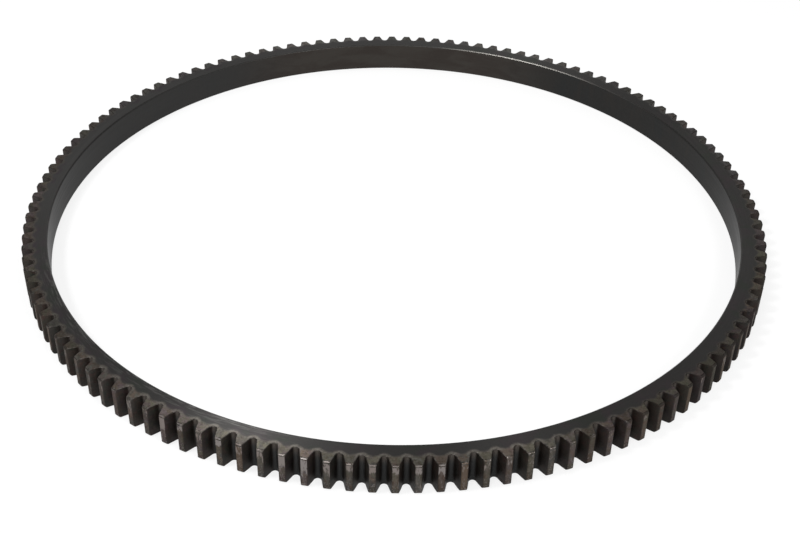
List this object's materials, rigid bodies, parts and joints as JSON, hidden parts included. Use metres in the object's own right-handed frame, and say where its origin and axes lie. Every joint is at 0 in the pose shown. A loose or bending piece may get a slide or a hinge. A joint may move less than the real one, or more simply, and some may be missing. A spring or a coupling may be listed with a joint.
{
  "type": "flywheel ring gear",
  "caption": "Hardened steel starter ring gear: a thin toothed ring with external stub spur teeth and a plain chamfered bore that is shrunk onto a flywheel.",
  "frame": {"origin": "on the bore axis, in the plane of the back face", "axes": "+Z along the bore axis from the back face to the front face, +X through the middle of a tooth"},
  "size_m": [0.4052, 0.405, 0.0175],
  "materials": {
    "hardened_steel": "dark heat-tinted steel with a turned bore and brighter worn tooth tips"
  },
  "bodies": {
    "root": {"ring_gear": "hardened_steel"}
  },
  "joints": []
}
